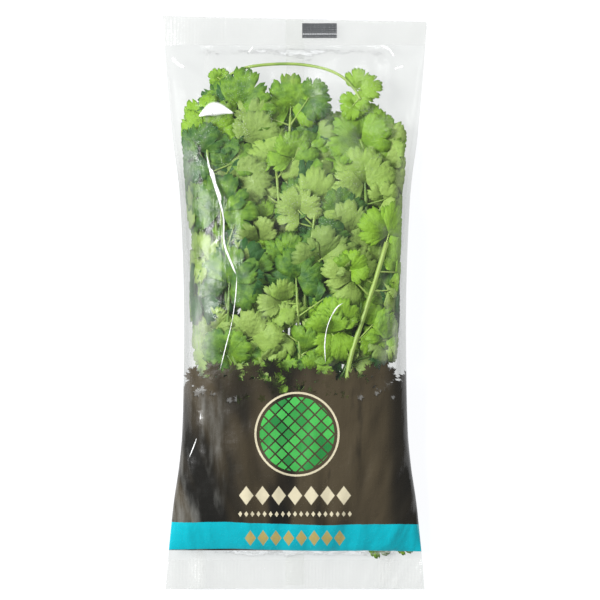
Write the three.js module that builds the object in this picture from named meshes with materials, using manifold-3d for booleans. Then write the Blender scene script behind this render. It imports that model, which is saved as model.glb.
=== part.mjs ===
// A bunch of coriander in a clear pillow bag, lying on its back on a table.
// Millimetres, +Z up, +Y towards the bag's top seal. The origin is on the table under the bag's middle.
// The bag is one tube of film with a seam along its back and a crimped seal across each end.
// Inside it lie leafy stems, each one a stem with ternate leaves cut in lobes and teeth.

import * as THREE from "three";
import { mergeVertices } from "three/addons/utils/BufferGeometryUtils.js";
import Module from "manifold-3d";

const wasm = await Module();
wasm.setup();

// Driving dimensions of the bag
const bagLength = 370;
const filmThickness = 0.6;
const sealDepth = 19;
const sealHeight = 5.6; // the seals hang a little above the table
const topSkew = 0.022; // the top was cut a little askew: its right-hand corner is lower
const seamWidth = 12;
const seamThickness = 0.6;
const ventRadius = 3;
const ventSpots = [
  [-28, 104],
  [30, 62],
  [-31, 8],
  [28, -34],
];

// Half of the width and the thickness of the filled bag at places along its length: [y, value]
const halfWidthAt = [
  [-185, 83.6], [-166, 82], [-142, 79.6], [-127, 77.9], [-105, 74.6], [-82, 72.5], [-30, 71.3],
  [8, 71.4], [50, 72.9], [76, 74.7], [105, 78.6], [140, 82], [166, 84.1], [185, 85.4],
];
const thicknessAt = [
  [-185, 1.2], [-166, 1.2], [-158, 8], [-142, 18], [-120, 27], [-82, 34], [-30, 42],
  [10, 45], [50, 43], [80, 38], [110, 30], [135, 21], [150, 14], [159, 7], [166, 1.2], [185, 1.2],
];
const crownPower = 2.3; // how square the section is above its widest line
const bellyPower = 3.5; // and below it, where the bag sits on the table
const sideShare = 0.42; // height of the widest line, as a share of the thickness
const bellySink = 0.8; // how far the belly would bulge below the table if it weren't flattened

// Driving dimensions of the herb
const bladeThickness = 0.6;
const petioleThickness = 1.1;
const petioleHalfWidth = 0.65;
const stemFoot = -150; // the cut ends lie here
const laneStep = 3.4; // distance between neighbouring stems at their cut ends
const laneEnd = -88; // above this the stems start to leave their lanes
const stemRadius = { foot: 1.35, tip: 0.8 };
const stemSides = 5;
const stemStops = 7; // rings along a stem
const clearance = 1.5; // between the film and the outermost leaf layer
const sideClearance = 4.5; // and at the bag's sides
const heart = 0.45; // middle of a leaflet, as a share of its length
const cup = 0.35; // how far a leaflet's middle stands above its edge

// Right-hand edge of a leaflet of length 1, from its base to its tip: [out, along]
const leafletEdge = [
  [0.31, 0.33], [0.46, 0.48], [0.44, 0.68], [0.22, 0.6], [0.23, 0.9],
];
const sideLeafletTurn = (84 * Math.PI) / 180; // the leaflets stay clear of each other
const sideLeafletShare = 0.9;
const leafletStart = 1.6; // distance of a leaflet's base from the middle of the plate
// Corners of the small plate where the three leaflets of a leaf meet
const plateCorners = { petiole: [petioleHalfWidth, -1.4], side: [2.0, -0.6], top: [1.3, 1.7] };
const tipPetiole = 4;
const simplifyWithin = 0.04;

// A smooth curve through a table of [y, value] rows
function along(table, y) {
  const last = table.length - 1;
  if (y <= table[0][0]) return table[0][1];
  if (y >= table[last][0]) return table[last][1];
  let i = 0;
  while (y > table[i + 1][0]) i++;
  const slope = (a, b) => (table[b][1] - table[a][1]) / (table[b][0] - table[a][0]);
  const span = table[i + 1][0] - table[i][0];
  const t = (y - table[i][0]) / span;
  const m0 = slope(Math.max(i - 1, 0), i + 1) * span;
  const m1 = slope(i, Math.min(i + 2, last)) * span;
  const flat = Math.abs(table[i][1] - table[i + 1][1]) < 1e-9;
  if (flat) return table[i][1];
  return (
    table[i][1] * (2 * t ** 3 - 3 * t ** 2 + 1) +
    table[i + 1][1] * (3 * t ** 2 - 2 * t ** 3) +
    m0 * (t ** 3 - 2 * t ** 2 + t) +
    m1 * (t ** 3 - t ** 2)
  );
}

function smoothstep(from, to, value) {
  const t = Math.min(1, Math.max(0, (value - from) / (to - from)));
  return t * t * (3 - 2 * t);
}

// The film's outer surface at one place along the bag: half width, widest line, crown and belly
function section(y) {
  const rise = (sealHeight - seamThickness - filmThickness) * smoothstep(116, 166, Math.abs(y));
  const belly = seamThickness + rise;
  const thick = Math.max(along(thicknessAt, y), 2 * filmThickness);
  const sink = bellySink * (1 - smoothstep(112, 150, Math.abs(y)));
  return {
    half: along(halfWidthAt, y),
    side: belly + sideShare * thick,
    crown: belly + thick,
    belly,
    sink,
  };
}

const oval = (u, power) => (1 - Math.min(1, Math.abs(u)) ** power) ** (1 / power);

// Heights of the film above and below a point, taken in by an inset
function crownHeight(x, y, inset) {
  const s = section(y);
  return s.side + (s.crown - inset - s.side) * oval(x / (s.half - inset), crownPower);
}

function bellyHeight(x, y, inset) {
  const s = section(y);
  const low = s.side - (s.side - s.belly + s.sink - inset) * oval(x / (s.half - inset), bellyPower);
  return Math.max(low, s.belly + inset);
}

// A random number source with a fixed seed
function dice(seed) {
  let state = (seed * 2654435761) % 4294967296;
  const draw = () => {
    state = (state * 1664525 + 1013904223) % 4294967296;
    return state / 4294967296;
  };
  draw();
  return (low, high) => low + (high - low) * draw();
}

// A solid from points and triangles, turned to face outwards
function solidFrom(points, triangles) {
  const build = (faces) =>
    new wasm.Manifold(
      new wasm.Mesh({
        numProp: 3,
        vertProperties: new Float32Array(points.flat()),
        triVerts: new Uint32Array(faces.flat()),
      }),
    );
  const made = build(triangles);
  return made.volume() > 0 ? made : build(triangles.map(([a, b, c]) => [a, c, b]));
}

// A closed skin through a row of rings that all have the same number of points
function loft(rings) {
  const n = rings[0].length;
  const points = rings.flat();
  const triangles = [];
  for (let r = 0; r + 1 < rings.length; r++)
    for (let k = 0; k < n; k++) {
      const a = r * n + k;
      const b = r * n + ((k + 1) % n);
      triangles.push([a, b, b + n], [a, b + n, a + n]);
    }
  const end = (rings.length - 1) * n;
  for (let k = 1; k + 1 < n; k++) {
    triangles.push([0, k + 1, k]);
    triangles.push([end, end + k, end + k + 1]);
  }
  return solidFrom(points, triangles);
}

function geometryOf(solid) {
  const mesh = solid.getMesh();
  const geometry = new THREE.BufferGeometry();
  geometry.setAttribute("position", new THREE.BufferAttribute(mesh.vertProperties, 3));
  geometry.setIndex(new THREE.BufferAttribute(mesh.triVerts, 1));
  geometry.computeVertexNormals();
  return geometry;
}

// A three.js geometry as a solid
function solidOf(geometry) {
  const bare = geometry.clone();
  bare.deleteAttribute("normal");
  bare.deleteAttribute("uv");
  const merged = mergeVertices(bare);
  return new wasm.Manifold(
    new wasm.Mesh({
      numProp: 3,
      vertProperties: merged.attributes.position.array,
      triVerts: new Uint32Array(merged.index.array),
    }),
  );
}

// The bag's last ring follows its askew cut
function cutAt(x, y) {
  return y < bagLength / 2 ? y : y - topSkew * (x + section(y).half);
}

// One ring of the film round the bag, taken in by an inset
function filmRing(y, inset, sides) {
  const s = section(y);
  const ring = [];
  for (let k = 0; k < sides; k++) {
    const turn = (2 * Math.PI * k) / sides;
    const c = Math.cos(turn);
    const power = Math.sin(turn) >= 0 ? crownPower : bellyPower;
    const x = (s.half - inset) * Math.sign(c) * Math.abs(c) ** (2 / power);
    const above = k < sides / 2;
    const z = above ? crownHeight(x, y, inset) : bellyHeight(x, y, inset);
    ring.push([x, cutAt(x, y), z]);
  }
  return ring;
}

function makeFilm() {
  const sides = 24;
  const sealEdge = bagLength / 2 - sealDepth;
  const middle = [
    -158, -149, -135, -117, -92, -60, -25, 12, 45, 70, 92, 112, 130, 145, 157,
  ];
  const outside = [-bagLength / 2, -sealEdge, ...middle, sealEdge, bagLength / 2];
  const cavityEnd = sealEdge - 2.5;
  const inside = [-cavityEnd, ...middle, cavityEnd];
  const outer = loft(outside.map((y) => filmRing(y, 0, sides)));
  const inner = loft(inside.map((y) => filmRing(y, filmThickness, sides)));
  // The seam is a flat fin on the bag's back, and the bag lies on it
  const fin = loft(
    outside.map((y) => {
      const low = section(y).belly - seamThickness;
      const high = low + seamThickness + filmThickness / 2;
      const w = seamWidth / 2;
      const corners = [[-w, low], [w, low], [w, high], [-w, high]];
      return corners.map(([x, z]) => [x, cutAt(x, y), z]);
    }),
  );
  let film = outer.add(fin).subtract(inner);
  for (const [x, y] of ventSpots) {
    const vent = new THREE.CylinderGeometry(ventRadius, ventRadius, 6, 8);
    vent.rotateX(Math.PI / 2);
    vent.translate(x, y, 0);
    film = film.subtract(solidOf(vent));
  }
  return film.simplify(simplifyWithin);
}

// Where the herb lies: depth 0 is on the belly film and 1 is under the crown film. The lift shrinks
// where the bag is thin, and half of a blade's thickness doesn't.
function settle(x, y, depth, lift, thickening = 0) {
  const edge = section(y).half - sideClearance;
  const knee = 0.74 * edge;
  const out = Math.abs(x);
  const kept = out < knee ? out : knee + (edge - knee) * Math.tanh((out - knee) / (edge - knee));
  const inset = filmThickness + clearance;
  const px = Math.sign(x) * kept;
  const low = bellyHeight(px, y, inset);
  const high = crownHeight(px, y, inset);
  const room = Math.max(high - low, 0);
  const squeeze = Math.min(1, room / 34);
  return [px, y, low + depth * room + lift * squeeze + thickening];
}

// The right and then the left half of a leaflet's edge, from its base over its tip
const leafletRim = [
  ...leafletEdge,
  [0, 1],
  ...[...leafletEdge].reverse().map(([out, reach]) => [-out, reach]),
];

// A sheet of triangles in its own plane. Its points are [u, v, lift, thickness].
class Sheet {
  points = [];
  triangles = [];

  put(u, v, lift, thick) {
    return this.points.push([u, v, lift, thick]) - 1;
  }

  // Triangles from a middle point to every side of a closed rim
  fan(middle, rim) {
    rim.forEach((a, k) => this.triangles.push([middle, a, rim[(k + 1) % rim.length]]));
  }

  // One cut leaflet between two points that the sheet already has
  leaflet(length, turn, start, from, to) {
    const place = ([out, reach], lift) => {
      const a = out * length;
      const b = start + reach * length;
      const [c, s] = [Math.cos(turn), Math.sin(turn)];
      return this.put(a * c + b * s, b * c - a * s, lift, bladeThickness);
    };
    this.fan(place([0, heart], cup), [from, ...leafletRim.map((p) => place(p, 0)), to]);
  }
}

// A ternate leaf, its petiole towards -v: three cut leaflets that meet at a small plate
function leafSheet(size, petioleLength) {
  const sheet = new Sheet();
  const pair = ([u, v], thick) => [sheet.put(u, v, 0, thick), sheet.put(-u, v, 0, thick)];
  const [sideRight, sideLeft] = pair(plateCorners.side, bladeThickness);
  const [topRight, topLeft] = pair(plateCorners.top, bladeThickness);
  const [right, left] = pair(plateCorners.petiole, petioleThickness);
  const plate = [right, sideRight, topRight, topLeft, sideLeft, left];
  sheet.fan(sheet.put(0, 0, 0, petioleThickness), plate);
  const [r, l] = pair([petioleHalfWidth, plateCorners.petiole[1] - petioleLength], petioleThickness);
  sheet.triangles.push([right, left, l], [right, l, r]);
  const sideLength = size * sideLeafletShare;
  sheet.leaflet(size, 0, leafletStart, topRight, topLeft);
  sheet.leaflet(sideLength, sideLeafletTurn, leafletStart, sideRight, topRight);
  sheet.leaflet(sideLength, -sideLeafletTurn, leafletStart, topLeft, sideLeft);
  return sheet;
}

// Gives a sheet its thickness, with the same triangles on both faces
function thicken({ points, triangles }, place) {
  const n = points.length;
  const skin = (side) => points.map(([u, v, lift, t]) => place(u, v, lift, (side * t) / 2));
  const faces = [];
  const edges = new Map();
  for (const [a, b, c] of triangles) {
    faces.push([a, b, c], [a + n, c + n, b + n]);
    for (const [p, q] of [[a, b], [b, c], [c, a]])
      if (!edges.delete(`${q},${p}`)) edges.set(`${p},${q}`, [p, q]);
  }
  for (const [p, q] of edges.values()) faces.push([p, p + n, q + n], [p, q + n, q]);
  return solidFrom([...skin(1), ...skin(-1)], faces);
}

// A stem through points, thinner towards its tip, with one ring at each point
function stemAlong(path, { foot, tip }) {
  const last = path.length - 1;
  const points = path.map((p) => new THREE.Vector3(...p));
  return loft(
    points.map((at, i) => {
      const ahead = points[Math.min(i + 1, last)].clone().sub(points[Math.max(i - 1, 0)]).normalize();
      const across = new THREE.Vector3(0, 0, 1).cross(ahead).normalize();
      const up = ahead.cross(across);
      const radius = foot + (tip - foot) * (i / last);
      return Array.from({ length: stemSides }, (_, k) => {
        const turn = (2 * Math.PI * k) / stemSides;
        const side = across.clone().multiplyScalar(radius * Math.cos(turn));
        return side.addScaledVector(up, radius * Math.sin(turn)).add(at).toArray();
      });
    }),
  );
}

// Grows one leafy stem: its route is a row of [x, y], and each leaf has its root on that route,
// the heading and length of its petiole, and its own turn and size. Angles run from +Y to +X.
function grow({ route, depth, leaves, radius = stemRadius }) {
  const settled = (x, y, lift, thickening) => settle(x, y, depth(x, y), lift, thickening);
  let sprig = stemAlong(route.map(([x, y]) => settled(x, y, 0)), radius);
  for (const { root, heading, petiole, turn, size } of leaves) {
    const [hx, hy] = [Math.sin(heading), Math.cos(heading)];
    const [c, s] = [Math.cos(turn), Math.sin(turn)];
    const place = (u, v, lift, thickening) => {
      // Below the plate the strip leaves the leaf's direction for the petiole's
      const back = Math.max(0, plateCorners.petiole[1] - v);
      const x = root[0] + (petiole - back) * hx + u * c + (v + back) * s;
      const y = root[1] + (petiole - back) * hy - u * s + (v + back) * c;
      return settled(x, y, lift, thickening);
    };
    sprig = sprig.add(thicken(leafSheet(size, petiole), place));
  }
  return sprig.simplify(simplifyWithin);
}

// The stems lie in layers under the crown film and over the belly film. All of a layer's ranks are
// there up to `from`, and only the first up to `to`, so that each cluster of leaves comes to lie
// just under the film and over the stems behind it.
const layers = {
  back: { ranks: 3, from: 55, to: 148, near: 0.37, far: 0 },
  front: { ranks: 4, from: 30, to: 148, near: 0.47, far: 1 },
};
const middleDepth = 0.42;
const rankSlack = 0.6;
const familyShift = { left: 0, middle: 0.6, right: 0.22 };

function depthInLayer(layer, rank, family) {
  const { ranks, from, to, near, far } = layers[layer];
  return (x, y) => {
    const present = ranks - (ranks - 1) * Math.min(1, Math.max(0, (y - from) / (to - from)));
    return near + (far - near) * Math.min(1, (rank - familyShift[family]) / (present + rankSlack));
  };
}

// A leafy stem by rule: it rises from its lane to its axis and leans, with a leaf at its tip, a pair
// below that, and more further down
function sprigByRule({ lane, axis, top, lean, count, size, seed, depth, radius }) {
  const roll = dice(seed);
  const tip = top - size - tipPetiole;
  const leave = Math.max(Math.min(tip - 50, 10), -15);
  const stemX = (y) => lane + (axis + lean * (y - tip) - lane) * smoothstep(laneEnd, leave, y);
  const foot = stemFoot + roll(-4, 6);
  const route = Array.from({ length: stemStops }, (_, i) => {
    const y = foot + ((tip - foot) * i) / (stemStops - 1);
    return [stemX(y), y];
  });
  const ahead = Math.atan(lean);
  const leaves = [
    {
      root: [stemX(tip - 2), tip - 2],
      heading: ahead,
      petiole: tipPetiole + 2,
      turn: ahead + roll(-0.35, 0.35),
      size,
    },
  ];
  let side = roll(0, 1) < 0.5 ? -1 : 1;
  let y = tip - roll(33, 36);
  for (let i = 1; i < count; i++) {
    leaves.push({
      root: [stemX(y), y],
      heading: ahead + side * roll(0.9, 1.2),
      petiole: roll(12, 16),
      turn: ahead + side * roll(1.1, 1.6),
      size: size * roll(0.82, 1),
    });
    side = -side;
    y -= i % 2 ? roll(5, 9) : roll(36, 40);
  }
  return { route, depth, leaves, radius };
}

// The stems in front, one by one as seen through the film, from the rear rank to the film:
// [axis, top, lean, leaves]
const frontStems = {
  left: [
    [-36, 151, 0.04, 3],
    [-57, 133, -0.12, 3],
    [-47, 82, -0.06, 4],
    [-42, 36, 0.05, 3],
  ],
  middle: [
    [-3, 147, 0.05, 3],
    [-12, 112, -0.08, 4],
    [13, 86, 0.12, 4],
    [1, 36, -0.05, 3],
  ],
  right: [
    [48, 127, 0.06, 3],
    [45, 100, -0.03, 4],
    [42, 28, 0.05, 3],
    [59, 66, 0.32, 2],
  ],
};
const strongStem = { foot: 1.6, tip: 1.5 }; // the thick one that shows at the right
// Those behind by rule: their tops, and how far to the side and how low each family lies
const backTops = [146, 104, 58];
const familySide = { left: -40, middle: 0, right: 40 };
const familyDrop = { left: 0, middle: 0, right: 17 };

function stemList() {
  const list = [];
  let seed = 100;
  for (const family of Object.keys(familySide)) {
    backTops.forEach((top, i) => {
      const roll = dice(seed + 7);
      list.push({
        name: `sprig_back_${family}_${i + 1}`,
        family,
        axis: familySide[family] + roll(-5, 5),
        top: top - familyDrop[family] + roll(-6, 0),
        lean: roll(-0.12, 0.12) + 0.002 * familySide[family],
        count: 2,
        size: roll(22.5, 25.5),
        depth: depthInLayer("back", i + 1, family),
        seed: seed++,
      });
    });
    frontStems[family].forEach(([axis, top, lean, count], i) => {
      const strong = family === "right" && i === 3;
      list.push({
        name: `sprig_front_${family}_${i + 1}`,
        family,
        axis,
        top,
        lean,
        count,
        size: dice(seed + 7)(22, 26),
        depth: depthInLayer("front", i + 1, family),
        radius: strong ? strongStem : stemRadius,
        seed: seed++,
      });
    });
  }
  list.push({
    name: "sprig_core",
    family: "middle",
    axis: 4,
    top: 136,
    lean: 0,
    count: 2,
    size: 24,
    depth: () => middleDepth,
    seed,
  });
  return list;
}

// The long bent stem that runs up the left side and over the top of the bunch to the right
const loopRoute = [
  [-43, -147], [-43, -118], [-44, -88], [-46, -50], [-49, 0], [-51, 50], [-53, 95], [-52, 125],
  [-46, 142], [-35, 150], [-20, 153], [0, 153.5], [18, 150.5], [30, 145], [38, 137], [42, 130],
];
const loopRadius = { foot: 1.3, tip: 0.8 };
const loopLeaves = [
  { root: [37, 138], heading: 1.9, petiole: 4, turn: 1.4, size: 15 },
  { root: [41.5, 131], heading: -2.4, petiole: 5, turn: -2.6, size: 11 },
  { root: [-46, 142], heading: -0.9, petiole: 3, turn: -0.9, size: 8 },
];
const loopDepth = (x) => middleDepth + 0.5 * smoothstep(-10, 28, x);

// Two leaflets have dropped to the foot of the bag: [x, y, turn, size]
const looseLeaflets = [
  [50, -151, 2.3, 13],
  [66, -154, 1.9, 10],
];

function looseLeaflet([x, y, turn, size]) {
  const sheet = new Sheet();
  const base = [-0.8, 0.8].map((u) => sheet.put(u, 0, 0, bladeThickness));
  sheet.leaflet(size, 0, 0, base[1], base[0]);
  const [c, s] = [Math.cos(turn), Math.sin(turn)];
  return thicken(sheet, (u, v, lift, thickening) => {
    const [px, py] = [x + u * c + v * s, y - u * s + v * c];
    const between = (bellyHeight(px, py, filmThickness) + crownHeight(px, py, filmThickness)) / 2;
    return [px, py, between + lift / 2 + thickening];
  });
}

const greens = [
  { color: 0x6fae3c, roughness: 0.55 },
  { color: 0x4c8a35, roughness: 0.55 },
  { color: 0x93bb62, roughness: 0.6 },
].map((look) => new THREE.MeshStandardMaterial(look));
const filmLook = new THREE.MeshStandardMaterial({
  color: 0xe9ecea,
  roughness: 0.15,
  transparent: true,
  opacity: 0.3,
});

const bunch = new THREE.Group();

function addMesh(name, solid, material) {
  const mesh = new THREE.Mesh(geometryOf(solid), material);
  mesh.name = name;
  bunch.add(mesh);
}

const stems = stemList();
// At their cut ends the stems lie side by side, family by family
const order = Object.keys(familySide).flatMap((family) =>
  stems.filter((stem) => stem.family === family).sort((a, b) => a.axis - b.axis),
);
order.forEach((stem, i) => {
  stem.lane = (i - (order.length - 1) / 2) * laneStep;
});

addMesh("bag_film", makeFilm(), filmLook);
stems.forEach((stem, i) => addMesh(stem.name, grow(sprigByRule(stem)), greens[i % greens.length]));
const loop = { route: loopRoute, depth: loopDepth, leaves: loopLeaves, radius: loopRadius };
addMesh("sprig_loop", grow(loop), greens[0]);
looseLeaflets.forEach((row, i) => addMesh(`loose_leaflet_${i + 1}`, looseLeaflet(row), greens[0]));

export default bunch;
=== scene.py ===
import math

import bmesh
import bpy
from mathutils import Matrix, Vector, noise


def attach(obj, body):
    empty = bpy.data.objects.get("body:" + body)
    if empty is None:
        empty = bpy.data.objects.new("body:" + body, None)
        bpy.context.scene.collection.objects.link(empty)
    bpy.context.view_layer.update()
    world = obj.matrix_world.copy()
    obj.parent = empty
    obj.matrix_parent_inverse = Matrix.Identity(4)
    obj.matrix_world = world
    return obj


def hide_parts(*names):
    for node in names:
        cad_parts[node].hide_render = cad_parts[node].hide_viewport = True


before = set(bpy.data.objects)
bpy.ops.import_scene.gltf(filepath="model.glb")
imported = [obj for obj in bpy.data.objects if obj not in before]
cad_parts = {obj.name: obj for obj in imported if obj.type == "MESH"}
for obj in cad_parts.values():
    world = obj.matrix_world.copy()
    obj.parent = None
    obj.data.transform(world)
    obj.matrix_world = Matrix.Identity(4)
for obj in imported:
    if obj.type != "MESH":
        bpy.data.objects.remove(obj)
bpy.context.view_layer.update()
scene = bpy.context.scene
scene.view_settings.view_transform = "Standard"
mm = 0.001
print("frame loaded:", len(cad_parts), "nodes")

# The bag's shape in millimetres, as in the solids: [y, value] rows along its length
bag = {
    "length": 370,
    "sealDepth": 19,
    "sealHeight": 5.6,
    "topSkew": 0.022,
    "seam": 0.6,
    "film": 0.6,
    "halfWidth": [
        [-185, 83.6], [-166, 82], [-142, 79.6], [-127, 77.9], [-105, 74.6], [-82, 72.5], [-30, 71.3],
        [8, 71.4], [50, 72.9], [76, 74.7], [105, 78.6], [140, 82], [166, 84.1], [185, 85.4],
    ],
    "thickness": [
        [-185, 1.2], [-166, 1.2], [-158, 8], [-142, 18], [-120, 27], [-82, 34], [-30, 42],
        [10, 45], [50, 43], [80, 38], [110, 30], [135, 21], [150, 14], [159, 7], [166, 1.2], [185, 1.2],
    ],
    "crownPower": 2.3,
    "bellyPower": 3.5,
    "sideShare": 0.42,
    "bellySink": 0.8,
    "sealRise": (116, 166),  # where the belly rises to the seals
    "sinkFade": (112, 150),
    "ventRadius": 3,
    "vents": [(-28, 104), (30, 62), (-31, 8), (28, -34)],
}


def along(table, y):
    if y <= table[0][0]:
        return table[0][1]
    if y >= table[-1][0]:
        return table[-1][1]
    i = 0
    while y > table[i + 1][0]:
        i += 1
    if table[i][1] == table[i + 1][1]:
        return table[i][1]
    span = table[i + 1][0] - table[i][0]
    t = (y - table[i][0]) / span

    def slope(a, b):
        return (table[b][1] - table[a][1]) / (table[b][0] - table[a][0]) * span

    before = slope(max(i - 1, 0), i + 1)
    after = slope(i, min(i + 2, len(table) - 1))
    blend = table[i][1] * (2 * t**3 - 3 * t**2 + 1) + table[i + 1][1] * (3 * t**2 - 2 * t**3)
    return blend + before * (t**3 - 2 * t**2 + t) + after * (t**3 - t**2)


def clamp(value, low=0, high=1):
    return min(high, max(low, value))


def smoothStep(low, high, value):
    t = clamp((value - low) / (high - low))
    return t * t * (3 - 2 * t)


sections = {}


def section(y):
    # half width, widest line, crown and belly of the film at y, kept once worked out
    key = round(y * 20)
    if key not in sections:
        y = key / 20
        rise = (bag["sealHeight"] - bag["seam"] - bag["film"]) * smoothStep(*bag["sealRise"], abs(y))
        belly = bag["seam"] + rise
        thick = max(along(bag["thickness"], y), 2 * bag["film"])
        sections[key] = {
            "half": along(bag["halfWidth"], y),
            "side": belly + bag["sideShare"] * thick,
            "crown": belly + thick,
            "belly": belly,
            "sink": bag["bellySink"] * (1 - smoothStep(*bag["sinkFade"], abs(y))),
        }
    return sections[key]


def oval(u, power):
    return (1 - min(1, abs(u)) ** power) ** (1 / power)


def crownHeight(x, y, inset):
    s = section(y)
    return s["side"] + (s["crown"] - inset - s["side"]) * oval(x / (s["half"] - inset), bag["crownPower"])


def bellyHeight(x, y, inset):
    s = section(y)
    drop = (s["side"] - s["belly"] + s["sink"] - inset) * oval(x / (s["half"] - inset), bag["bellyPower"])
    return max(s["side"] - drop, s["belly"] + inset)


class Dice:
    # the same draws as in the solids, so that each leaf grows where its solid does
    def __init__(self, seed):
        self.state = (seed * 2654435761) % 4294967296
        self.draw()

    def draw(self):
        self.state = (self.state * 1664525 + 1013904223) % 4294967296
        return self.state / 4294967296

    def roll(self, low, high):
        return low + (high - low) * self.draw()


class Wire:
    # a node's output that can be used in sums
    def __init__(self, paint, socket):
        self.paint = paint
        self.socket = socket

    def reckon(self, operation, *values):
        return self.paint.add("ShaderNodeMath", {"operation": operation}, dict(enumerate(values)))

    def __add__(self, other):
        return self.reckon("ADD", self, other)

    def __sub__(self, other):
        return self.reckon("SUBTRACT", self, other)

    def __rsub__(self, other):
        return self.reckon("SUBTRACT", other, self)

    def __mul__(self, other):
        return self.reckon("MULTIPLY", self, other)

    def __truediv__(self, other):
        return self.reckon("DIVIDE", self, other)

    def __pow__(self, other):
        return self.reckon("POWER", self, other)

    def __abs__(self):
        return self.reckon("ABSOLUTE", self)

    __radd__ = __add__
    __rmul__ = __mul__

    def least(self, other):
        return self.reckon("MINIMUM", self, other)

    def most(self, other):
        return self.reckon("MAXIMUM", self, other)

    def part(self):
        return self.reckon("FRACT", self)

    def floor(self):
        return self.reckon("FLOOR", self)

    def ramp(self, low, high):
        ends = {"Value": self, "From Min": low, "From Max": high}
        return self.paint.add("ShaderNodeMapRange", {"interpolation_type": "SMOOTHSTEP"}, ends)


class Paint:
    # a material and one way to add any node to it
    def __init__(self, name):
        self.material = bpy.data.materials.new(name)
        self.material.use_nodes = True
        self.tree = self.material.node_tree
        self.tree.nodes.clear()
        self.output = self.tree.nodes.new("ShaderNodeOutputMaterial")

    def add(self, kind, settings=None, sockets=None, output=0):
        node = self.tree.nodes.new(kind)
        for name, value in (settings or {}).items():
            setattr(node, name, value)
        for name, value in (sockets or {}).items():
            if isinstance(value, Wire):
                self.tree.links.new(value.socket, node.inputs[name])
            else:
                node.inputs[name].default_value = value
        return Wire(self, node.outputs[output])

    def mix(self, share, first, second):
        first, second = ((*c, 1) if isinstance(c, tuple) else c for c in (first, second))
        return self.add("ShaderNodeMix", {"data_type": "RGBA"}, {0: share, 6: first, 7: second}, 2)

    def place(self):
        return self.add("ShaderNodeTexCoord", output="Object")

    def axes(self, vector):
        split = self.add("ShaderNodeSeparateXYZ", sockets={0: vector})
        return [Wire(self, split.socket.node.outputs[i]) for i in range(3)]

    def attribute(self, name):
        return self.add("ShaderNodeAttribute", {"attribute_name": name}, output="Fac")

    def noise(self, vector, scale, detail=3, roughness=0.5):
        sockets = {"Vector": vector, "Scale": scale, "Detail": detail, "Roughness": roughness}
        return self.add("ShaderNodeTexNoise", sockets=sockets, output="Fac")

    def bump(self, height, strength, distance):
        sockets = {"Height": height, "Strength": strength, "Distance": distance}
        return self.add("ShaderNodeBump", sockets=sockets)

    def principled(self, **sockets):
        named = {name.replace("_", " "): value for name, value in sockets.items()}
        return self.add("ShaderNodeBsdfPrincipled", sockets=named)

    def finish(self, shader):
        self.tree.links.new(shader.socket, self.output.inputs["Surface"])
        return self.material


leafLook = {
    "deep": (0.024, 0.115, 0.018),
    "fresh": (0.25, 0.47, 0.024),
    "pale": (0.34, 0.49, 0.11),
    "vein": (0.44, 0.6, 0.18),
    "aged": (0.3, 0.27, 0.06),
    # white specks of the droplets: painted glints
    "dropletGlint": (0.8, 0.86, 0.78),
    "patchScale": 190,
    "grainScale": 900,
    "puckerScale": 420,
    "wetScale": 22,
    "dropletScale": 1500,
    "agedScale": 34,
    "veins": 5,
    "forks": 15,
    "relief": 0.0009,
}


def leafMaterial():
    p = Paint("leaf blade")
    look = leafLook
    where = p.place()
    tint = p.attribute("tint")
    pale = p.attribute("pale")
    u, v, _ = p.axes(p.add("ShaderNodeUVMap", {"uv_map": "blade"}))
    patches = p.noise(where, look["patchScale"], 4)
    grain = p.noise(where, look["grainScale"], 3)
    puckers = p.noise(where, look["puckerScale"], 2)
    blade = p.mix((tint + (patches - 0.5) * 0.9).ramp(0.1, 0.95), look["deep"], look["fresh"])
    blade = p.mix(pale, blade, look["pale"])
    # veins fan out from the leaflet's foot and fork towards its teeth
    bent = u + (patches - 0.5) * 0.09 * v
    spread = abs((bent * look["veins"]).part() - 0.5)
    fork = abs((bent * look["forks"]).part() - 0.5)
    veins = (1 - spread.ramp(0.0, 0.06)) * (1 - v.ramp(0.7, 1.0))
    forks = (1 - fork.ramp(0.0, 0.16)) * v.ramp(0.3, 0.6) * (1 - v.ramp(0.8, 1.0)) * 0.3
    ribs = veins.most(forks)
    edge = v.ramp(0.86, 1.0)
    colour = p.mix(ribs * (pale * 0.16 + 0.08), blade, look["vein"])
    colour = p.mix(edge * 0.25 + puckers.ramp(0.55, 0.7) * 0.16, colour, look["deep"])
    # patches of fine droplets, their white specks painted glints, and some yellowed places
    wet = p.noise(where, look["wetScale"], 2).ramp(0.56, 0.68)
    dropletGlints = p.noise(where, look["dropletScale"], 1).ramp(0.66, 0.7) * wet
    aged = p.noise(where, look["agedScale"], 3).ramp(0.64, 0.78)
    colour = p.mix(aged * 0.4, colour, look["aged"])
    colour = p.mix(dropletGlints * 0.7, colour, look["dropletGlint"])
    relief = ribs * (pale * 0.6 - 0.3) + grain * 0.3 + puckers * 0.9 + patches * 2.4 + dropletGlints
    shader = p.principled(
        Base_Color=colour,
        Roughness=0.46 + grain * 0.2 - dropletGlints * 0.3,
        Normal=p.bump(relief, 0.6, look["relief"]),
        Specular_IOR_Level=0.4,
    )
    return p.finish(shader)


stemLook = {
    "dark": (0.1, 0.24, 0.03),
    "light": (0.4, 0.56, 0.12),
    "foot": (0.5, 0.6, 0.3),
    "ribs": 6,
    "patchScale": 60,
}


def stemMaterial():
    p = Paint("stem")
    look = stemLook
    where = p.place()
    u, v, _ = p.axes(p.add("ShaderNodeUVMap", {"uv_map": "blade"}))
    ribs = abs((u * look["ribs"]).part() - 0.5)
    patches = p.noise(where, look["patchScale"], 3)
    tone = (patches + p.attribute("tint") * 0.5).ramp(0.35, 0.95)
    colour = p.mix(tone, look["dark"], look["light"])
    colour = p.mix((1 - v.ramp(0.0, 0.05)) * 0.8, colour, look["foot"])
    shader = p.principled(
        Base_Color=colour,
        Roughness=0.38 + patches * 0.15,
        Normal=p.bump(ribs + patches * 0.3, 0.5, 0.0004),
    )
    return p.finish(shader)


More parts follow.
